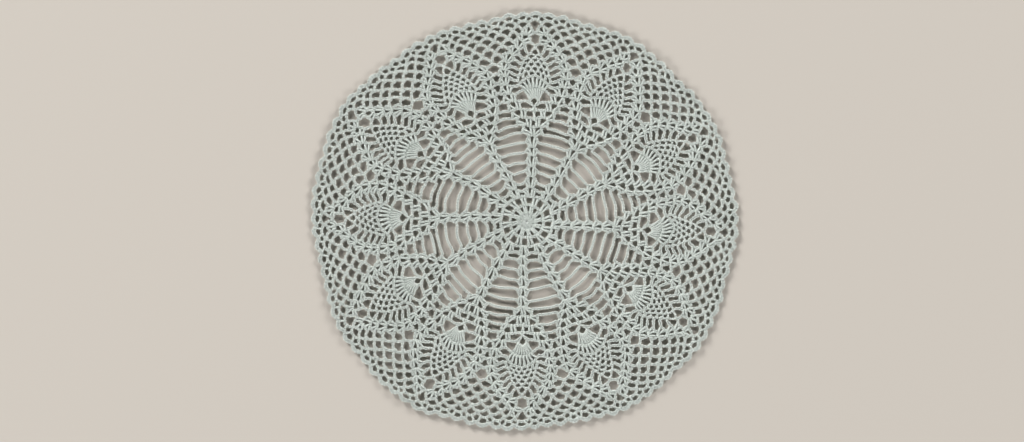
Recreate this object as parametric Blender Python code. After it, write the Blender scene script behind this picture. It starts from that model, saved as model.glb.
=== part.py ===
"""Round crocheted doily of the pineapple kind, worked in one piece from the middle outwards.

It is one flat sheet of crochet lying on its underside. The sheet has the slightly uneven
round outline with its scalloped picot edge, and the largest gaps of the lace. Metres, +Z up.
The origin is the middle of the underside, measured between the outermost points.
"""
import math
from collections import namedtuple

import bmesh
import bpy

# Driving dimensions, in metres, and angles in degrees, turning from +X towards +Y.
MEAN_RADIUS = 0.1592        # from the ring in the middle to the edge, averaged all round
THICKNESS = 0.0020          # two threads lying over each other in every stitch
REPEATS = 12                # pineapples, with a ladder of chains between each two
PINEAPPLE_AXIS = 88.0       # where the first pineapple points
REPEAT_ANGLE = 360.0 / REPEATS
LADDER_AXIS = PINEAPPLE_AXIS + REPEAT_ANGLE / 2.0

# The edge: eight picot scallops in each repeat, and the pull of the hand-blocked outline.
SCALLOPS = 8 * REPEATS
SCALLOP_DEPTH = 0.0020
SCALLOP_POINTS = 4

Wave = namedtuple("Wave", "lobes height toward")
EDGE_WAVES = (
    Wave(lobes=1, height=0.0023, toward=205.0),
    Wave(lobes=2, height=0.0016, toward=4.0),
    Wave(lobes=4, height=0.0016, toward=52.0),
    Wave(lobes=5, height=0.0013, toward=15.0),
    Wave(lobes=12, height=0.0011, toward=88.0),
)

# The gaps. Radii are shares of the edge radius, and angles are taken from the gap's axis.
# A gap is a rounded box at roundness 0.6, an oval at 1.0 and a lozenge above that.
# A taper of 1 draws its outer end to a point.
Gap = namedtuple("Gap", "radius half_height offset half_span roundness taper corners")
LADDER_GAPS = (
    Gap(radius=0.1680, half_height=0.0125, offset=0.0, half_span=5.2, roundness=0.8, taper=0.0, corners=8),
    Gap(radius=0.2115, half_height=0.0160, offset=0.0, half_span=6.2, roundness=0.7, taper=0.0, corners=10),
    Gap(radius=0.2605, half_height=0.0146, offset=0.0, half_span=8.4, roundness=0.6, taper=0.0, corners=10),
    Gap(radius=0.3080, half_height=0.0140, offset=0.0, half_span=10.0, roundness=0.6, taper=0.0, corners=10),
    Gap(radius=0.3590, half_height=0.0208, offset=0.0, half_span=11.6, roundness=0.6, taper=0.0, corners=10),
    Gap(radius=0.3985, half_height=0.0100, offset=0.0, half_span=11.2, roundness=0.7, taper=0.0, corners=10),
    Gap(radius=0.4370, half_height=0.0130, offset=0.0, half_span=9.2, roundness=0.6, taper=0.0, corners=10),
    Gap(radius=0.4800, half_height=0.0134, offset=0.0, half_span=6.4, roundness=0.7, taper=0.0, corners=10),
    Gap(radius=0.5240, half_height=0.0125, offset=0.0, half_span=3.5, roundness=0.8, taper=0.3, corners=8),
    Gap(radius=0.7600, half_height=0.0220, offset=0.0, half_span=1.7, roundness=0.9, taper=0.0, corners=8),
)
PINEAPPLE_GAPS = (
    Gap(radius=0.605, half_height=0.0170, offset=-5.7, half_span=1.5, roundness=0.8, taper=0.7, corners=6),
    Gap(radius=0.605, half_height=0.0170, offset=5.7, half_span=1.5, roundness=0.8, taper=0.7, corners=6),
    Gap(radius=0.879, half_height=0.0260, offset=0.0, half_span=1.1, roundness=1.3, taper=0.0, corners=8),
)

COTTON_COLOUR = (0.60, 0.65, 0.60, 1.0)
COTTON_ROUGHNESS = 0.85


def edge_radius(angle):
    """The radius of the blocked outline at an angle, before the scallops are cut into it."""
    radius = MEAN_RADIUS
    for wave in EDGE_WAVES:
        radius += wave.height * math.cos(math.radians(wave.lobes * (angle - wave.toward)))
    return radius


def point_at(share, angle):
    """A point of the doily at a share of the edge radius, measured from the middle ring."""
    radius = share * edge_radius(angle)
    return (radius * math.cos(math.radians(angle)), radius * math.sin(math.radians(angle)))


def scalloped_edge():
    """The outer edge: round bumps that meet in sharp dips, one bump for each picot."""
    count = SCALLOPS * SCALLOP_POINTS
    points = []
    for step in range(count):
        angle = PINEAPPLE_AXIS + 360.0 * (step / count + 0.5 / SCALLOPS)
        bump = abs(math.sin(math.pi * step / SCALLOP_POINTS))
        share = 1.0 - SCALLOP_DEPTH * (1.0 - bump) / MEAN_RADIUS
        points.append(point_at(share, angle))
    return points


def signed_power(value, exponent):
    return math.copysign(abs(value) ** exponent, value)


def gap_outline(gap, axis):
    """The corners of one gap, laid out along the round of stitches that it lies in."""
    points = []
    for corner in range(gap.corners):
        turn = 2.0 * math.pi * (corner + 0.5) / gap.corners
        along = signed_power(math.cos(turn), gap.roundness)
        outward = signed_power(math.sin(turn), gap.roundness)
        narrowing = 1.0 - gap.taper * (outward + 1.0) / 2.0
        angle = axis + gap.offset + gap.half_span * along * narrowing
        points.append(point_at(gap.radius + gap.half_height * outward, angle))
    return points


def all_outlines():
    """The edge first, then every gap of every repeat, moved so that the origin is central."""
    outlines = [scalloped_edge()]
    for repeat in range(REPEATS):
        turn = repeat * REPEAT_ANGLE
        outlines += [gap_outline(gap, LADDER_AXIS + turn) for gap in LADDER_GAPS]
        outlines += [gap_outline(gap, PINEAPPLE_AXIS + turn) for gap in PINEAPPLE_GAPS]
    edge_x = [x for x, y in outlines[0]]
    edge_y = [y for x, y in outlines[0]]
    middle_x = (min(edge_x) + max(edge_x)) / 2.0
    middle_y = (min(edge_y) + max(edge_y)) / 2.0
    return [[(x - middle_x, y - middle_y) for x, y in outline] for outline in outlines]


def cotton_material():
    material = bpy.data.materials.new("cotton")
    material.use_nodes = True
    shader = material.node_tree.nodes["Principled BSDF"]
    shader.inputs["Base Color"].default_value = COTTON_COLOUR
    shader.inputs["Roughness"].default_value = COTTON_ROUGHNESS
    shader.inputs["Metallic"].default_value = 0.0
    return material


def make_doily():
    """Fill the sheet between its edge and its gaps, and give it the thickness of the stitches."""
    shape = bmesh.new()
    for outline in all_outlines():
        corners = [shape.verts.new((x, y, 0.0)) for x, y in outline]
        for corner, following in zip(corners, corners[1:] + corners[:1]):
            shape.edges.new((corner, following))
    bmesh.ops.triangle_fill(shape, edges=shape.edges[:], use_beauty=True, normal=(0.0, 0.0, 1.0))
    top = bmesh.ops.extrude_face_region(shape, geom=shape.faces[:])
    raised = [element for element in top["geom"] if isinstance(element, bmesh.types.BMVert)]
    bmesh.ops.translate(shape, verts=raised, vec=(0.0, 0.0, THICKNESS))
    bmesh.ops.recalc_face_normals(shape, faces=shape.faces[:])
    mesh = bpy.data.meshes.new("doily")
    shape.to_mesh(mesh)
    shape.free()
    mesh.materials.append(cotton_material())
    doily = bpy.data.objects.new("doily", mesh)
    bpy.context.scene.collection.objects.link(doily)
    return doily


for old_object in list(bpy.data.objects):
    bpy.data.objects.remove(old_object, do_unlink=True)
make_doily()
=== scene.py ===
"""The looks of a round crocheted lace doily, laid flat: every thread of its 26 rounds.

It was worked in one piece from the middle outwards in pale grey green crochet cotton. Twelve
ribs with ladders of chains between them turn into twelve pineapples between strips of
shells, with a net of loops between the strips and small picots round the edge.
Metres, +Z up. The doily lies on the plane z = 0.
"""
import cmath
import math

import bpy
import numpy as np
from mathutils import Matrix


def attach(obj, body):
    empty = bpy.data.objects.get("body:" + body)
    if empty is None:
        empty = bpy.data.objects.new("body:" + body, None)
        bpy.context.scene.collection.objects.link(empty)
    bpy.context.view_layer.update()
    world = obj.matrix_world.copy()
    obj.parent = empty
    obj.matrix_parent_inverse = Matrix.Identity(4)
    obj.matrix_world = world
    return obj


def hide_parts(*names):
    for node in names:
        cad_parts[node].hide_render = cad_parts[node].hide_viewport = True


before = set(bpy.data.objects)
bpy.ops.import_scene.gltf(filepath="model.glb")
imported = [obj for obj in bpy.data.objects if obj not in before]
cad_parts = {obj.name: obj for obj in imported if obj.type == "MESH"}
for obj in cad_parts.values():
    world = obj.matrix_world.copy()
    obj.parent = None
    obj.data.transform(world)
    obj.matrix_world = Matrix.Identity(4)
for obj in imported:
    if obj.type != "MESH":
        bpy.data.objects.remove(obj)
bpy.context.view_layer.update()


# ---- The lay of the doily: its hand-blocked outline and the pull in its rounds.
# The maker pinned it out damp, so that no two repeats are quite alike. A place in the work is
# written as (angle from the pineapple's axis in degrees, share of the way from ring to edge).

MEAN_RADIUS = 0.1592
REPEATS = 12
REPEAT_ANGLE = 30.0
PINEAPPLE_AXIS = 88.0
RING_CENTRE = complex(0.0019, -0.0003)  # the ring lies a little off the middle of the outline
EDGE_PULLS = (  # lobes, height, toward
    (1, 0.0023, 205.0),
    (2, 0.0016, 4.0),
    (4, 0.0016, 52.0),
    (5, 0.0013, 15.0),
    (12, 0.0011, 88.0),
)
TWIST_SHARES = (0.12, 0.21, 0.39, 0.88)  # the middle was pinned turned clockwise of the edge
TWIST_DEGREES = (-5.0, -3.3, -1.2, 0.0)
SLIP_DEGREES = 1.25  # and the outer rounds slipped sideways, one side against the other
SLIP_TOWARD = 20.0
SLIP_START = 0.2  # the share of the way out at which they begin to slip
SLIP_RAMP = 0.3  # and over how much more the slip comes in
TALLEST_PEAK = 1.4  # of soft waves added up, against their usual height

dice = np.random.default_rng(26)  # the same unevenness every time


def edge_radius(angle):
    """How far from the ring the edge lies at an angle."""
    radius = MEAN_RADIUS
    for lobes, height, toward in EDGE_PULLS:
        radius = radius + height * np.cos(np.radians(lobes * (angle - toward)))
    return radius


def soft_waves(count, shortest, longest):
    """Sizes, directions and starts of soft waves that are added up to an uneven field."""
    lengths = dice.uniform(shortest, longest, count)
    turns = dice.uniform(0.0, 2.0 * math.pi, count)
    starts = dice.uniform(0.0, 2.0 * math.pi, count)
    return 2.0 * math.pi * np.exp(1j * turns) / lengths, starts


def field(waves, places):
    """The uneven field at complex places, about -1 to 1."""
    directions, starts = waves
    phase = np.outer(places.real, directions.real) + np.outer(places.imag, directions.imag) + starts
    return np.sin(phase).sum(axis=1) * math.sqrt(2.0 / len(starts)) / TALLEST_PEAK


PULL_X = soft_waves(9, 0.011, 0.034)
PULL_Y = soft_waves(9, 0.011, 0.034)
PULL = 0.00050  # how far a stitch is pulled out of its place
LIFT = soft_waves(7, 0.030, 0.080)
LIFT_ALL_OVER = 0.0001
LIFT_AT_EDGE = 0.0002  # and this much more


def at(angle, share):
    """A place in one repeat, as a complex number of metres whose real axis is the repeat's."""
    return cmath.rect(share * MEAN_RADIUS, math.radians(angle))


def lay(places, repeat):
    """Puts places of one repeat where they lie on the table."""
    places = np.asarray(places, dtype=complex)
    share = np.abs(places) / MEAN_RADIUS
    angle = PINEAPPLE_AXIS + REPEAT_ANGLE * repeat + np.degrees(np.angle(places))
    slip = SLIP_DEGREES * np.clip((share - SLIP_START) / SLIP_RAMP, 0.0, 1.0)
    slip = slip * np.cos(np.radians(angle - SLIP_TOWARD))
    angle = angle + np.interp(share, TWIST_SHARES, TWIST_DEGREES) - slip
    laid = share * edge_radius(angle) * np.exp(1j * np.radians(angle))
    ease = np.clip(share * 6.0, 0.0, 1.0)  # the ring in the middle keeps its shape
    laid = laid + PULL * ease * (field(PULL_X, laid) + 1j * field(PULL_Y, laid))
    return laid + RING_CENTRE


def lift(places):
    """How far the work stands off the table, most towards the edge."""
    share = np.abs(places) / MEAN_RADIUS
    return (LIFT_ALL_OVER + LIFT_AT_EDGE * share**3) * (1.0 + field(LIFT, places)).clip(0.0)


# ---- The thread: crochet cotton of about size 10, in three twisted plies, washed soft so that
# it lies about a millimetre across. Every stitch is a length of it, bent as the hook bends it.
# Each length is built as a tube of five sides, with a map that runs along the thread.

THREAD_RADIUS = 0.00054
DOUBLE_THREAD_RADIUS = 0.00063  # the long strands of the doubles lie loose and fluff up
SIDES = 5
MILLIMETRES = 1000.0  # in a metre, as the map along the thread is in millimetres


def thread_rings(paths, across, closed, radius):
    """Rings of points round many paths at once. paths is (count, points, 3)."""
    if closed:
        ahead = np.roll(paths, -1, axis=1) - np.roll(paths, 1, axis=1)
    else:
        ahead = np.gradient(paths, axis=1)
    ahead /= np.linalg.norm(ahead, axis=2, keepdims=True)
    side = across - (across * ahead).sum(axis=2, keepdims=True) * ahead
    side /= np.linalg.norm(side, axis=2, keepdims=True)
    up = np.cross(ahead, side)
    turn = 2.0 * np.pi * np.arange(SIDES) / SIDES
    ring = np.cos(turn)[:, None] * side[:, :, None, :] + np.sin(turn)[:, None] * up[:, :, None, :]
    return paths[:, :, None, :] + radius * ring


class Yarn:
    """Gathers the lengths of thread of one piece, then makes them one mesh."""

    def __init__(self):
        self.points = []
        self.quads = []
        self.caps = []
        self.maps = []
        self.count = 0

    def add(self, paths, across, closed=False, radius=THREAD_RADIUS):
        """Adds lengths of thread that run along paths, each with its first side turned across."""
        count, length = paths.shape[:2]
        rings = thread_rings(paths, across, closed, radius)
        steps = np.linalg.norm(np.diff(paths, axis=1), axis=2)
        run = np.concatenate([np.zeros((count, 1)), np.cumsum(steps, axis=1)], axis=1) * MILLIMETRES
        run = run + dice.uniform(0.0, 5.0, (count, 1))  # so that the twist starts anywhere
        first = self.count + np.arange(count)[:, None, None] * length * SIDES
        bands = length if closed else length - 1
        ring = np.arange(bands)[None, :, None]
        corner = np.arange(SIDES)[None, None, :]
        beside = (corner + 1) % SIDES
        after = (ring + 1) % length
        self.quads.append(
            np.stack(
                np.broadcast_arrays(
                    first + ring * SIDES + corner,
                    first + ring * SIDES + beside,
                    first + after * SIDES + beside,
                    first + after * SIDES + corner,
                ),
                axis=-1,
            ).reshape(-1, 4)
        )
        here = run[:, :bands, None]
        onward = np.append(run[:, 1:], run[:, -1:] + 1.0, axis=1)[:, :bands, None]
        left = corner / SIDES
        right = (corner + 1) / SIDES
        round_the_quad = ((left, here), (right, here), (right, onward), (left, onward))
        corner_maps = [np.stack(np.broadcast_arrays(*spot), axis=-1) for spot in round_the_quad]
        self.maps.append(np.stack(corner_maps, axis=-2).reshape(-1, 4, 2))
        if not closed:
            start = first[:, 0, 0][:, None] + np.arange(SIDES)[::-1]
            end = first[:, 0, 0][:, None] + (length - 1) * SIDES + np.arange(SIDES)
            self.caps.append(np.concatenate([start, end]))
        self.points.append(rings.reshape(-1, 3))
        self.count += count * length * SIDES

    def piece(self, name, material):
        """Makes the piece, whose object stays at the origin."""
        points = np.concatenate(self.points)
        quads = np.concatenate(self.quads)
        caps = np.concatenate(self.caps) if self.caps else np.zeros((0, SIDES), int)
        corners = np.concatenate([quads.ravel(), caps.ravel()])
        sizes = np.concatenate([np.full(len(quads), 4), np.full(len(caps), SIDES)])
        starts = np.concatenate([[0], np.cumsum(sizes)[:-1]])
        maps = np.concatenate([np.concatenate(self.maps).reshape(-1, 2), np.zeros((caps.size, 2))])
        mesh = bpy.data.meshes.new(name)
        mesh.vertices.add(len(points))
        mesh.vertices.foreach_set("co", points.ravel())
        mesh.loops.add(len(corners))
        mesh.loops.foreach_set("vertex_index", corners.astype(np.int32))
        mesh.polygons.add(len(sizes))
        mesh.polygons.foreach_set("loop_start", starts.astype(np.int32))
        mesh.update(calc_edges=True)
        mesh.uv_layers.new(name="along_the_thread").data.foreach_set("uv", maps.ravel())
        mesh.shade_smooth()
        mesh.materials.append(material)
        piece = bpy.data.objects.new(name, mesh)
        bpy.context.scene.collection.objects.link(piece)
        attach(piece, "root")
        return piece


# ---- The cotton: pale grey green, mercerised but washed soft, so it has a faint sheen and
# hardly any gloss. Its three plies show as slanting grooves, with painted shade in them, and the
# colour is a little uneven.

COTTON = (0.55, 0.59, 0.55, 1.0)
# the darker tone: darker cotton in the uneven clouds, and painted shade in the grooves between the
# plies
DARKER_COTTON_AND_SHADE_IN_GROOVES = (0.41, 0.445, 0.41, 1.0)
PLIES = 3
GROOVE_STEP = 0.75  # millimetres along the thread from one groove to the next
GROOVE_DEPTH = 0.00006
# painted shade: the colour is painted darker in the grooves, where they lie in shade
PAINTED_GROOVE_SHADE = 0.16  # how much the colour darkens in the grooves
CLOUDS = 70.0  # lighter and darker clouds in a metre


def cotton_material():
    """Twisted cotton, whose plies follow the map along the thread."""
    material = bpy.data.materials.new("cotton")
    material.use_nodes = True
    nodes, links = material.node_tree.nodes, material.node_tree.links
    shader = nodes["Principled BSDF"]
    shader.inputs["Roughness"].default_value = 0.8
    shader.inputs["Sheen Weight"].default_value = 0.25
    shader.inputs["Sheen Roughness"].default_value = 0.5
    shader.inputs["Specular IOR Level"].default_value = 0.3
    shader.inputs["Subsurface Weight"].default_value = 0.4
    shader.inputs["Subsurface Radius"].default_value = (1.0, 1.0, 1.0)
    shader.inputs["Subsurface Scale"].default_value = 0.0006

    # The plies: a wave that turns round the thread as it runs along it.
    run = nodes.new("ShaderNodeUVMap")
    run.uv_map = "along_the_thread"
    split = nodes.new("ShaderNodeSeparateXYZ")
    links.new(run.outputs["UV"], split.inputs["Vector"])
    around = nodes.new("ShaderNodeMath")
    around.operation = "MULTIPLY"
    around.inputs[1].default_value = 2.0 * math.pi * PLIES
    links.new(split.outputs["X"], around.inputs[0])
    along = nodes.new("ShaderNodeMath")
    along.operation = "MULTIPLY_ADD"
    along.inputs[1].default_value = 2.0 * math.pi / GROOVE_STEP
    links.new(split.outputs["Y"], along.inputs[0])
    links.new(around.outputs[0], along.inputs[2])
    plies = nodes.new("ShaderNodeMath")
    plies.operation = "SINE"
    links.new(along.outputs[0], plies.inputs[0])

    # The colour: uneven clouds over the whole doily, and painted shade that makes it a little darker
    # in the grooves.
    place = nodes.new("ShaderNodeTexCoord")
    cloud = nodes.new("ShaderNodeTexNoise")
    cloud.inputs["Scale"].default_value = CLOUDS
    cloud.inputs["Detail"].default_value = 3.0
    links.new(place.outputs["Object"], cloud.inputs["Vector"])
    # the mix follows the uneven clouds and the painted shade in the grooves
    clouds_and_painted_groove_shade = nodes.new("ShaderNodeMath")
    clouds_and_painted_groove_shade.operation = "MULTIPLY_ADD"
    clouds_and_painted_groove_shade.inputs[1].default_value = PAINTED_GROOVE_SHADE
    links.new(plies.outputs[0], clouds_and_painted_groove_shade.inputs[0])
    links.new(cloud.outputs["Fac"], clouds_and_painted_groove_shade.inputs[2])
    colour = nodes.new("ShaderNodeMix")
    colour.data_type = "RGBA"
    colour.inputs[6].default_value = DARKER_COTTON_AND_SHADE_IN_GROOVES  # 6, 7 and output 2 are its colour sockets
    colour.inputs[7].default_value = COTTON
    links.new(clouds_and_painted_groove_shade.outputs[0], colour.inputs["Factor"])
    links.new(colour.outputs[2], shader.inputs["Base Color"])

    bump = nodes.new("ShaderNodeBump")
    bump.inputs["Strength"].default_value = 0.6
    bump.inputs["Distance"].default_value = GROOVE_DEPTH
    links.new(plies.outputs[0], bump.inputs["Height"])
    links.new(bump.outputs["Normal"], shader.inputs["Normal"])
    return material


cotton = cotton_material()


# ---- The stitches. A chain is a row of loops, each drawn through the one before it, so that
# it shows as nested Vs. A double crochet stands on two strands hooked round the row below, with
# the yarn over lying aslant across them. A single crochet is one short loop over that row.

CHAIN_LENGTH = 0.00225
CHAIN_HALF_WIDTH = 0.00061
CHAIN_HEIGHT = 0.00106  # of its middle above the table
UNEVEN_LENGTH = 0.02  # in chain lengths
UNEVEN_WIDTH = 0.06  # in half widths
UNEVEN_HEIGHT = 0.00003
CHAIN_BENDS = np.array(  # along in chain lengths, across in half widths, up in metres
    [
        (-0.50, 0.20, 0.00003),
        (0.12, 1.05, 0.00034),
        (0.72, 0.45, -0.00008),
        (0.72, -0.45, -0.00008),
        (0.12, -1.05, 0.00034),
        (-0.50, -0.20, 0.00003),
        (0.02, 0.00, -0.00050),
    ]
)
LINE_POINTS = 12  # from one place of the chart to the next


def smooth_loop(places):
    """A smooth closed line through places, with its length so far at each of its points."""
    before = np.roll(places, 1)[:, None]
    after = np.roll(places, -1)[:, None]
    later = np.roll(places, -2)[:, None]
    here = places[:, None]
    part = (np.arange(LINE_POINTS) / LINE_POINTS)[None, :]
    line = 0.5 * (
        2.0 * here
        + (after - before) * part
        + (2.0 * before - 5.0 * here + 4.0 * after - later) * part**2
        + (3.0 * here - before - 3.0 * after + later) * part**3
    )
    line = np.append(line.ravel(), places[0])
    return line, np.append(0.0, np.cumsum(np.abs(np.diff(line))))


def chain(yarn, places, slack):
    """Works a closed row of chain stitches through places. slack is 1 where they lie at ease."""
    line, run = smooth_loop(places)
    total = run[-1]
    count = round(total / CHAIN_LENGTH)
    pitch = total / count
    stitch = np.arange(count)[:, None]
    length = (stitch + CHAIN_BENDS[:, 0]) * pitch
    length = length + dice.normal(0.0, UNEVEN_LENGTH, (count, 1)) * pitch

    def on_line(distance):
        distance = np.mod(distance, total)
        return np.interp(distance, run, line.real) + 1j * np.interp(distance, run, line.imag)

    middle = on_line(length)
    ahead = on_line(length + 0.4 * pitch) - on_line(length - 0.4 * pitch)
    across = 1j * ahead / np.abs(ahead)
    width = CHAIN_HALF_WIDTH * (1.0 + dice.normal(0.0, UNEVEN_WIDTH, (count, 1)))
    width = width * np.interp(np.mod(length, total), run[::LINE_POINTS], slack + slack[:1])
    spot = middle + across * CHAIN_BENDS[:, 1] * width
    lifted = lift(middle.ravel() - RING_CENTRE).reshape(middle.shape)
    height = CHAIN_HEIGHT + CHAIN_BENDS[:, 2] + lifted
    height = height + dice.normal(0.0, UNEVEN_HEIGHT, (count, 1))
    path = np.stack([spot.real, spot.imag, height], axis=-1).reshape(1, -1, 3)
    upward = np.zeros_like(path)
    upward[..., 2] = 1.0
    yarn.add(path, upward, closed=True)


def bent(tops, feet, bends):
    """Thread paths for stitches that stand from feet to tops.

    A bend is (a share of the way up, a distance beyond it, a distance across, a height).
    """
    bends = np.asarray(bends)
    rise = tops - feet
    tall = np.abs(rise)[:, None]
    ahead = (rise / np.abs(rise))[:, None]
    spot = feet[:, None] + ahead * (bends[:, 0] * tall + bends[:, 1]) + 1j * ahead * bends[:, 2]
    height = bends[:, 3] + lift((feet + tops) / 2.0 - RING_CENTRE)[:, None]
    path = np.stack([spot.real, spot.imag, height], axis=-1)
    across = np.stack([(1j * ahead).real, (1j * ahead).imag, 0.0 * ahead.real], axis=-1)
    return path, np.broadcast_to(across, path.shape)


DOUBLE_BENDS = [  # down one strand, round the row below, and up the other
    (1.00, 0.0000, 0.00034, 0.00070),
    (0.74, 0.0000, 0.00056, 0.00112),
    (0.46, 0.0000, 0.00022, 0.00132),
    (0.22, 0.0002, -0.00040, 0.00138),
    (0.00, -0.0001, -0.00046, 0.00170),
    (0.00, -0.0011, -0.00018, 0.00120),
    (0.00, -0.0004, 0.00030, 0.00059),
    (0.22, 0.0002, 0.00050, 0.00074),
    (0.48, 0.0000, -0.00010, 0.00061),
    (0.74, 0.0000, -0.00056, 0.00088),
    (1.00, 0.0000, -0.00034, 0.00070),
]
YARN_OVER_BENDS = [  # aslant over both strands
    (0.24, 0.0000, -0.00062, 0.00100),
    (0.40, 0.0000, -0.00036, 0.00156),
    (0.60, 0.0000, 0.00030, 0.00160),
    (0.76, 0.0000, 0.00060, 0.00106),
]
SINGLE_BENDS = [  # over the row below and round behind it
    (1.00, -0.0002, -0.00012, 0.00090),
    (0.55, 0.0000, -0.00056, 0.00150),
    (0.00, -0.0001, -0.00060, 0.00168),
    (0.00, -0.0011, -0.00040, 0.00120),
    (0.00, -0.0011, 0.00040, 0.00120),
    (0.00, -0.0001, 0.00060, 0.00168),
    (0.55, 0.0000, 0.00056, 0.00150),
    (1.00, -0.0002, 0.00012, 0.00090),
]


# ---- The chart. A round is written as its top row and its standing stitches over half a
# repeat, from the pineapple's axis at 0 degrees to the ladder's at 15, and is then mirrored.
# The loops of the pineapples are worked tight, and the chains on their flanks lie loose.

LADDER = 15.0
PINEAPPLE_SLACK = 0.45
PINEAPPLE_SHARES = (0.70, 0.83)
PINEAPPLE_HALF_ANGLE = 7.0  # at its broad end
PINEAPPLE_TAPER = 45.0  # the degrees that this would lose over a whole edge radius
FLANK_SLACK = 1.35
FLANK_SHARES = (0.64, 0.83)
FLANK_ANGLE = 2.6  # how broad a flank is
double_tops, double_feet = [], []
short_tops, short_feet = [], []
single_tops, single_feet = [], []
tight_tops, tight_feet = [], []


def slack_at(place):
    """How loosely the chains lie at a place, against the rest of the doily."""
    share = abs(place) / MEAN_RADIUS
    angle = abs(math.degrees(cmath.phase(place)))
    taper = PINEAPPLE_TAPER * max(share - PINEAPPLE_SHARES[0], 0.0)
    beyond = angle - PINEAPPLE_HALF_ANGLE + taper
    if beyond < 0.0 and PINEAPPLE_SHARES[0] < share < PINEAPPLE_SHARES[1]:
        return PINEAPPLE_SLACK
    if 0.0 <= beyond < FLANK_ANGLE and FLANK_SHARES[0] < share < FLANK_SHARES[1]:
        return FLANK_SLACK
    return 1.0


def in_pineapple(place):
    return slack_at(place) == PINEAPPLE_SLACK


def on_axis(place):
    """Whether a place lies on the pineapple's axis, so that it is its own mirror image."""
    return abs(place.imag) < 1e-7


def on_ladder(place):
    """Whether a place lies on the ladder's axis, where the next repeat has it too."""
    return abs(math.degrees(cmath.phase(place)) - LADDER) < 0.01


def work_round(yarn, half, doubles=(), singles=(), shorts=()):
    """Works one round: its row of chains all round, and its stitches into the row below.

    half is the row over half a repeat, and a stitch is a pair of its top and its foot.
    """
    mirrored = [place.conjugate() for place in reversed(half) if not on_axis(place)]
    row = mirrored + (half[:-1] if on_ladder(half[-1]) else half)
    slack = [slack_at(place) for place in row] * REPEATS
    chain(yarn, np.concatenate([lay(row, repeat) for repeat in range(REPEATS)]), slack)
    for stitches, tops, feet in (
        (doubles, double_tops, double_feet),
        ([pair for pair in singles if not in_pineapple(pair[0])], single_tops, single_feet),
        ([pair for pair in singles if in_pineapple(pair[0])], tight_tops, tight_feet),
        (shorts, short_tops, short_feet),
    ):
        for top, foot in stitches:
            alone = on_ladder(top) or (on_axis(top) and on_axis(foot))
            for repeat in range(REPEATS):
                tops.append(lay([top], repeat))
                feet.append(lay([foot], repeat))
                if not alone:
                    tops.append(lay([top.conjugate()], repeat))
                    feet.append(lay([foot.conjugate()], repeat))


SHELL_FEET = (-0.0021, -0.0008, 0.0008, 0.0021)  # how far aside its doubles begin
SHELL_LEANS = (  # how far forward and aside they end, all but the last
    (0.0030, -0.0051),
    (0.0051, -0.0025),
    (0.0051, 0.0025),
)


def shell(foot, tip, last_lean, tops=None):
    """Two doubles, two chains and two doubles, all in one space. Gives its row and its doubles.

    tops are where the doubles end, from the pineapple towards the ladder. Without them the
    doubles stand evenly, and last_lean says how far forward and aside the last one ends.
    """
    out = (tip - foot) / abs(tip - foot)
    across = 1j * out
    if tops is None:
        tops = [foot + forward * out + aside * across for forward, aside in SHELL_LEANS + (last_lean,)]
    else:
        tops = [at(*top) for top in tops]
    feet = [foot + spread * across for spread in SHELL_FEET]
    return [tops[0], tops[1], tip, tops[2], tops[3]], list(zip(tops, feet))


def askew_shell(number):
    """A shell of the strips whose doubles stand where the chart says."""
    tops = [at(*top) for top in STRIP_TOPS[number]]
    feet = [at(*foot) for foot in STRIP_FEET[number]]
    return [tops[0], tops[1], STRIP_TIPS[number], tops[2], tops[3]], list(zip(tops, feet))


LOOP_PROFILE = (  # shares of the way along and of the height
    (0.11, 0.45),
    (0.28, 0.86),
    (0.50, 1.00),
    (0.72, 0.86),
    (0.89, 0.45),
)
TO_PEAK = 3  # places from a join to the peak of its loop, where a row may begin or end


def loops(joins, peaks):
    """A row of loops from join to join, each rising to its peak."""
    row = []
    for start, end, peak in zip(joins, joins[1:], peaks):
        row.append(start)
        for along, height in LOOP_PROFILE:
            row.append(start + along * (end - start) + height * (peak - (start + end) / 2.0))
    return row + [joins[-1]]


SINGLE_ABOVE = 0.0004  # how far it reaches beyond the place where it is worked
SINGLE_BELOW = 0.0007


def single(place):
    """A single crochet over the loop below, standing straight out from the middle."""
    out = place / abs(place)
    return place + SINGLE_ABOVE * out, place - SINGLE_BELOW * out


BAR_STEPS = 4


def bar_of_chains(start, end, middle_share, end_share):
    """Half a bar of the ladder, which bows out a little, from one angle to another."""
    row = []
    for step in range(BAR_STEPS + 1):
        part = step / BAR_STEPS
        share = end_share + (middle_share - end_share) * math.sin(part * math.pi / 2.0)
        row.append(at(start + (end - start) * part, share))
    return row


# ---- The middle, its twelve ribs and the ladders: rounds 1 to 13. Doubles in a ring, then
# twelve shells one above the other with longer and longer bars of chains between them. At
# the ribs' ends the shells part into the strips that run round the pineapples.

RIB_TIPS = [0.125, 0.171, 0.216, 0.267, 0.318, 0.362, 0.415]
RIB_BARS = [0.150, 0.1875, 0.237, 0.284, 0.332, 0.3815]  # at the ladder's axis
RIB_BAR_BOWS = [0.000, 0.001, 0.002, 0.003, 0.004, 0.004]  # how much lower their ends are
RIB_INNER_ASIDE = 0.0023  # where a shell's inner and outer double end, in metres from its axis
RIB_OUTER_ASIDE = 0.0041
RIB_BAR_ASIDE = 0.0062  # where the bar of chains leaves it
RIB_INNER_FOOT = 0.0008  # where the two doubles begin
RIB_OUTER_FOOT = 0.0019
RIB_INNER_DROP = 0.009  # the share by which the inner one ends below the tip
RIB_OUTER_RISE = 0.005  # and the outer one above the end of the bar
STRIP_TIPS = {  # the two chains at the head of each shell of the strips, by round
    10: at(4.6, 0.462),
    11: at(7.7, 0.504),
    12: at(9.45, 0.544),
    13: at(10.9, 0.586),
    14: at(11.55, 0.629),
    15: at(11.85, 0.672),
    16: at(11.95, 0.712),
    17: at(11.4, 0.7485),
    18: at(9.75, 0.782),
    19: at(7.8, 0.811),
    20: at(5.75, 0.838),
    21: at(3.95, 0.866),
    22: at(2.3, 0.897),
    23: at(1.5, 0.930),
}
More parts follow.
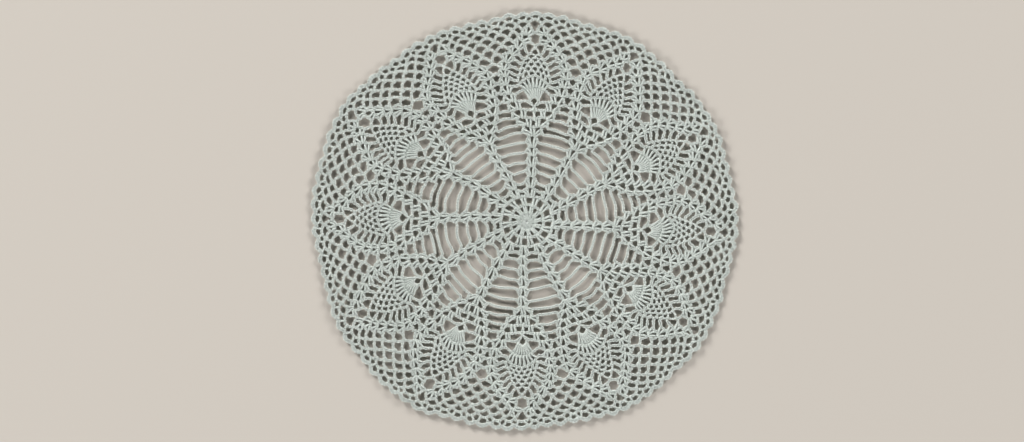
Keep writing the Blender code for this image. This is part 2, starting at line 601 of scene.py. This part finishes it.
STRIP_TOPS = {  # where the doubles end, in the shells that stand askew
    11: ((1.45, 0.4945), (3.55, 0.499), (8.9, 0.489), (8.9, 0.466)),
    12: ((3.8, 0.533), (5.7, 0.537), (11.0, 0.533), (10.9, 0.502)),
    13: ((6.3, 0.573), (7.9, 0.5785), (12.1, 0.575), (12.3, 0.544)),
    14: ((7.95, 0.611), (9.6, 0.620), (12.8, 0.618), (14.2, 0.586)),
    18: ((8.4, 0.7500), (9.1, 0.7680), (11.2, 0.7835), (13.2, 0.7705)),
    22: ((1.65, 0.8500), (1.70, 0.8710), (3.4, 0.8970), (5.0, 0.8875)),
    23: ((0.28, 0.8970), (0.75, 0.9100), (2.5, 0.9270), (3.8, 0.9135)),
}
STRIP_FEET = {  # where they begin, in the shells that are spread along the row below
    11: ((1.75, 0.4585), (3.15, 0.4605), (4.9, 0.4615), (5.6, 0.4570)),
    12: ((4.45, 0.5025), (6.0, 0.5035), (8.2, 0.5020), (8.8, 0.4965)),
    13: ((6.85, 0.5420), (8.2, 0.5440), (9.9, 0.5430), (10.4, 0.5370)),
    14: ((8.55, 0.5810), (9.8, 0.5850), (11.25, 0.5850), (11.9, 0.5790)),
    22: ((3.35, 0.8490), (3.60, 0.8600), (4.2, 0.8680), (4.7, 0.8720)),
    23: ((1.65, 0.8870), (1.90, 0.8960), (2.6, 0.8970), (3.2, 0.8930)),
}

ladder_chains = Yarn()
first_doubles = [(at(5, 0.040), at(5, 0.012))]  # short ones, all into the starting ring
work_round(ladder_chains, [at(0, 0.042), at(7.5, 0.042), at(15, 0.042)], shorts=first_doubles)
doubles = [(at(11.6, 0.076), at(10.5, 0.044))]
work_round(ladder_chains, [at(0, 0.078), at(7.5, 0.078), at(15, 0.078)], doubles)
doubles = [(at(10, 0.122), at(11.5, 0.080))]
work_round(ladder_chains, [at(0, 0.125), at(4, 0.125), at(10, 0.124), at(15, 0.125)], doubles)
for foot, tip, bar, bow in zip(RIB_TIPS, RIB_TIPS[1:], RIB_BARS, RIB_BAR_BOWS):
    end = bar - bow
    inner = complex(MEAN_RADIUS * (tip - RIB_INNER_DROP), RIB_INNER_ASIDE)
    outer = complex(MEAN_RADIUS * (end + RIB_OUTER_RISE), RIB_OUTER_ASIDE)
    leave = math.degrees(RIB_BAR_ASIDE / (MEAN_RADIUS * end))
    row = [at(0, tip), inner, outer] + bar_of_chains(leave, LADDER, bar, end)
    below = at(0, foot)
    doubles = [(inner, below + 1j * RIB_INNER_FOOT), (outer, below + 1j * RIB_OUTER_FOOT)]
    work_round(ladder_chains, row, doubles)

row = [at(0, 0.450), at(1.1, 0.4525), at(3.0, 0.4565), STRIP_TIPS[10], at(5.6, 0.445), at(6.0, 0.428)]
doubles = [
    (at(1.05, 0.451), at(0.7, 0.413)),
    (at(5.6, 0.444), at(1.0, 0.415)),
    (at(5.9, 0.427), at(2.0, 0.410)),
]
work_round(ladder_chains, row + bar_of_chains(6.9, LADDER, 0.4255, 0.4205), doubles)
row, doubles = askew_shell(11)
work_round(ladder_chains, [at(0, 0.489)] + row + bar_of_chains(9.2, LADDER, 0.459, 0.455), doubles)
row, doubles = askew_shell(12)
work_round(
    ladder_chains,
    [at(0, 0.530), at(1.9, 0.531)] + row + bar_of_chains(11.6, LADDER, 0.506, 0.500),
    doubles + [(at(0, 0.529), at(0, 0.490))],
)
row, doubles = askew_shell(13)
ring = [at(0, 0.5965), at(1.4, 0.593), at(2.3, 0.578), at(1.8, 0.563), at(0.55, 0.5525)]
onward = [at(1.5, 0.5560), at(2.4, 0.5640), at(3.7, 0.5715), at(5.1, 0.572)]
work_round(
    ladder_chains,
    ring + onward + row + [at(13.6, 0.543), at(15, 0.547)],
    doubles + [(at(2.1, 0.5680), at(-1.0, 0.5330))],
)
ladder_piece = ladder_chains.piece("doily_ladder_chains", cotton)


# ---- The pineapples: rounds 14 to 18, up to where the net begins between the strips. Eight
# long stitches fan out of one ring, a row of doubles stands on the fan, and each row of loops
# above it is one loop shorter.

EVEN_LEAN = (0.0020, 0.0044)  # how the shells' last doubles lean, on the side of the ladder
LADDER_LEANS = {  # and in the rounds where the next strip is close
    15: (0.0002, 0.0050),
    16: (0.0002, 0.0048),
    17: (0.0000, 0.0049),
}


def pineapple_round(yarn, number, joins, peaks, flank, ladder_side, singles=()):
    """A row of loops over the pineapple, the flank beside it, a shell of the strip, and the rest.

    The places are (angle, share), but for ladder_side: the rest of the row, as places in metres.
    """
    lean = LADDER_LEANS.get(number, EVEN_LEAN)
    row, doubles = shell(STRIP_TIPS[number - 1], STRIP_TIPS[number], lean, STRIP_TOPS.get(number))
    joins = [at(*join) for join in joins]
    peaks = [at(*peak) for peak in peaks]
    if on_axis(joins[0]):
        over = loops(joins, peaks)
    else:
        over = loops([joins[0].conjugate()] + joins, peaks)[TO_PEAK:]
    work_round(
        yarn,
        over + [at(*place) for place in flank] + row + ladder_side,
        doubles,
        [single(join) for join in joins] + [single(at(*place)) for place in singles],
    )


pineapple_chains = Yarn()
row, doubles = askew_shell(14)
fan = [
    (at(angle, 0.645 - 0.0007 * angle**2), at(0.46 * angle, 0.5975 - 0.0008 * angle**2))
    for angle in (0.62, 1.85, 3.1, 4.3)
]
work_round(
    pineapple_chains,
    [at(0, 0.648)] + [top for top, foot in fan] + [at(6.3, 0.620)] + row + [at(15, 0.592)],
    doubles + fan,
)
row, doubles = shell(STRIP_TIPS[14], STRIP_TIPS[15], LADDER_LEANS[15])
posts = [
    (at(angle, 0.692 - 0.0008 * angle**2), at(0.68 * angle, 0.648 - 0.0003 * angle**2))
    for angle in (0.93, 2.8, 4.6, 6.3)
]
flank = [at(7.1, 0.649), at(8.2, 0.654)]
work_round(
    pineapple_chains,
    [at(0, 0.696)] + [top for top, foot in posts] + flank + row + [at(15, 0.640)],
    doubles + posts,
)
pineapple_round(
    pineapple_chains,
    16,
    joins=[(0, 0.702), (2.2, 0.701), (4.4, 0.694), (6.6, 0.682)],
    peaks=[(1.1, 0.718), (3.3, 0.713), (5.5, 0.704)],
    flank=[(7.5, 0.677), (8.6, 0.685)],
    ladder_side=[at(15, 0.684)],
)
pineapple_round(
    pineapple_chains,
    17,
    joins=[(1.15, 0.722), (3.4, 0.716), (5.6, 0.707)],
    peaks=[(0, 0.740), (2.3, 0.737), (4.6, 0.728)],
    flank=[(6.9, 0.701), (8.1, 0.713)],
    ladder_side=[at(15, 0.730)],
)
pineapple_round(
    pineapple_chains,
    18,
    joins=[(0, 0.743), (2.4, 0.740), (4.7, 0.731)],
    peaks=[(1.25, 0.760), (3.7, 0.753)],
    flank=[(5.9, 0.723), (7.3, 0.742)],
    ladder_side=[at(15, 0.784)],
)
pineapple_piece = pineapple_chains.piece("doily_pineapple_chains", cotton)


# ---- The net of loops between the strips: rounds 19 to 22. Each loop of five chains is
# joined by a single crochet to the middle of a loop in the round below. The last loops of
# the pineapples are worked in the same rounds.

net_chains = Yarn()
pineapple_round(
    net_chains,
    19,
    joins=[(1.3, 0.763), (3.8, 0.757)],
    peaks=[(0, 0.780), (2.6, 0.776)],
    flank=[(5.0, 0.748), (6.4, 0.772)],
    ladder_side=loops([at(10.6, 0.795), at(15, 0.789)], [at(12.8, 0.820)]),
    singles=[(15, 0.788)],
)
pineapple_round(
    net_chains,
    20,
    joins=[(0, 0.783), (2.8, 0.779)],
    peaks=[(1.5, 0.797)],
    flank=[(3.9, 0.774), (5.0, 0.796)],
    ladder_side=loops(
        [at(8.6, 0.826), at(12.7, 0.823), at(17.3, 0.823)],
        [at(10.5, 0.850), at(15, 0.850)],
    )[:-TO_PEAK],
    singles=[(12.7, 0.823)],
)
pineapple_round(
    net_chains,
    21,
    joins=[(1.4, 0.803)],
    peaks=[(0, 0.8265)],
    flank=[(2.3, 0.799), (3.1, 0.818)],
    ladder_side=loops(
        [at(6.6, 0.854), at(10.4, 0.852), at(15, 0.852)],
        [at(8.4, 0.880), at(12.7, 0.881)],
    ),
    singles=[(10.4, 0.853), (15, 0.853)],
)
row, doubles = askew_shell(22)
net = loops(
    [at(5.0, 0.883), at(8.4, 0.882), at(12.9, 0.883), at(17.1, 0.883)],
    [at(6.6, 0.907), at(10.7, 0.908), at(15, 0.908)],
)[:-TO_PEAK]
work_round(
    net_chains,
    [at(0, 0.8365), at(0.85, 0.8445)] + row + net,
    doubles,
    [single(at(0, 0.834)), single(at(8.4, 0.884)), single(at(12.9, 0.885))],
)
net_piece = net_chains.piece("doily_net_chains", cotton)


# ---- The edge: rounds 23 to 26. The last two rounds of the net close over the tips of the
# pineapples. Two doubles stand on every loop of it with an arch of chains over them, and the
# last round is worked close along these arches as small picots.

PICOTS = 4  # in half a repeat
PICOT_STEP = LADDER / PICOTS
PAIR_TOP = 1.35  # how far from the middle of a pair its doubles end and begin, in degrees
PAIR_FOOT = 0.75
ARCH = (0.987, 0.9815, 0.974, 0.9815)  # from its peak down to the dip and up again
PICOT = (0.9945, 0.988, 0.978, 0.988)

edge_chains = Yarn()
row, doubles = askew_shell(23)
net = loops(
    [at(3.8, 0.911), at(6.6, 0.909), at(10.7, 0.911), at(15, 0.911)],
    [at(5.2, 0.932), at(8.7, 0.933), at(12.9, 0.934)],
)
work_round(
    edge_chains,
    [at(0, 0.9005)] + row + net,
    doubles,
    [single(at(6.6, 0.911)), single(at(10.7, 0.912)), single(at(15, 0.912))],
)
net = loops(
    [at(1.875, 0.938), at(5.6, 0.936), at(9.4, 0.936), at(13.1, 0.936), at(16.9, 0.936)],
    [at(3.75, 0.956), at(7.5, 0.956), at(11.25, 0.956), at(15, 0.956)],
)[:-TO_PEAK]
work_round(
    edge_chains,
    [at(0, 0.958), at(0.8, 0.955), at(1.5, 0.947)] + net,
    singles=[single(at(angle, 0.938)) for angle in (1.875, 5.6, 9.4, 13.1)],
)

pairs = []
for number in range(PICOTS + 1):
    for side in (-1, 1):
        top = number * PICOT_STEP + side * PAIR_TOP
        if 0.0 < top < LADDER:
            pairs.append((at(top, 0.974), at(number * PICOT_STEP + side * PAIR_FOOT, 0.956)))
steps = range(4 * PICOTS + 1)
arches = [at(0.25 * PICOT_STEP * step, ARCH[step % 4]) for step in steps]
work_round(edge_chains, arches, shorts=pairs)
picots = [at(0.25 * PICOT_STEP * step, PICOT[step % 4]) for step in steps]
work_round(edge_chains, picots)
edge_piece = edge_chains.piece("doily_edge_chains", cotton)


# ---- The standing stitches of all the rounds, once the chart is worked. The doubles are the
# piece that takes the place of the plain sheet. Their yarn overs, the short doubles in the
# middle and under the edge, and the singles are the piece of small stitches.


def stand(yarn, tops, feet, bends, radius=THREAD_RADIUS):
    """Adds the same stitch to a piece at many places."""
    path, across = bent(np.concatenate(tops), np.concatenate(feet), bends)
    yarn.add(path, across, radius=radius)


tall_stitches = Yarn()
stand(tall_stitches, double_tops, double_feet, DOUBLE_BENDS, DOUBLE_THREAD_RADIUS)
doily = tall_stitches.piece("doily_double_crochets", cotton)
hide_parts("doily")
small_stitches = Yarn()
stand(small_stitches, double_tops, double_feet, YARN_OVER_BENDS)
stand(small_stitches, short_tops, short_feet, DOUBLE_BENDS)
stand(small_stitches, single_tops, single_feet, SINGLE_BENDS)
tight_bends = [(up, beyond, PINEAPPLE_SLACK * aside, high) for up, beyond, aside, high in SINGLE_BENDS]
stand(small_stitches, tight_tops, tight_feet, tight_bends)
small_piece = small_stitches.piece("doily_small_stitches", cotton)


# ---- The table top, the light and the camera. Four soft lamps and a pale wall stand low round
# the plain pale table top, and the strongest lamp is at the upper left. So the small gaps of
# the lace lie in shade and its thread stands out. The camera looks straight down.

TABLE_TOP_SIZE = 10.0
TABLE_TOP_COLOUR = (0.49, 0.45, 0.40, 1.0)

bpy.ops.object.select_all(action="DESELECT")
bpy.ops.mesh.primitive_plane_add(size=TABLE_TOP_SIZE, location=(0.0, 0.0, 0.0))
floor = bpy.context.object
floor.name = "floor"
floor_paint = bpy.data.materials.new("floor_paint")
floor_paint.use_nodes = True
floor_shader = floor_paint.node_tree.nodes["Principled BSDF"]
floor_shader.inputs["Base Color"].default_value = TABLE_TOP_COLOUR
floor_shader.inputs["Roughness"].default_value = 0.9
floor.data.materials.append(floor_paint)

world = bpy.data.worlds.new("room")
world.use_nodes = True
room, room_links = world.node_tree.nodes, world.node_tree.links
toward = room.new("ShaderNodeTexCoord")
parts = room.new("ShaderNodeSeparateXYZ")
room_links.new(toward.outputs["Generated"], parts.inputs["Vector"])
wall = room.new("ShaderNodeMapRange")  # bright at the height of the wall and dim overhead
wall.interpolation_type = "SMOOTHSTEP"
wall.inputs["From Min"].default_value = 0.12
wall.inputs["From Max"].default_value = 0.42
wall.inputs["To Min"].default_value = 0.75
wall.inputs["To Max"].default_value = 0.02
room_links.new(parts.outputs["Z"], wall.inputs["Value"])
room["Background"].inputs["Color"].default_value = (1.0, 1.0, 1.0, 1.0)
room_links.new(wall.outputs["Result"], room["Background"].inputs["Strength"])
bpy.context.scene.world = world
bpy.context.scene.view_settings.view_transform = "Standard"

SOFTBOX_SIZE = 1.4


def softbox(name, place, power):
    """A square lamp that faces the middle of the table."""
    light = bpy.data.lights.new(name, "AREA")
    light.size = SOFTBOX_SIZE
    light.energy = power
    lamp = bpy.data.objects.new(name, light)
    lamp.location = place
    bpy.context.scene.collection.objects.link(lamp)
    aim = lamp.location.normalized()
    lamp.rotation_euler = aim.to_track_quat("Z", "Y").to_euler()


softbox("window_light", (-3.37, 4.34, 2.0), 430.0)
softbox("right_light", (4.27, 3.47, 2.0), 275.0)
softbox("left_light", (-4.27, -3.47, 2.0), 275.0)
softbox("front_light", (3.37, -4.34, 2.0), 225.0)

CAMERA_HEIGHT = 1.20
CAMERA_ASIDE = -0.0094
VIEW_WIDTH = 0.768
SENSOR_WIDTH = 36.0
camera_data = bpy.data.cameras.new("camera")
camera_data.sensor_width = SENSOR_WIDTH
camera_data.lens = SENSOR_WIDTH * CAMERA_HEIGHT / VIEW_WIDTH
camera = bpy.data.objects.new("camera", camera_data)
camera.location = (CAMERA_ASIDE, 0.0, CAMERA_HEIGHT)
bpy.context.scene.collection.objects.link(camera)
bpy.context.scene.camera = camera
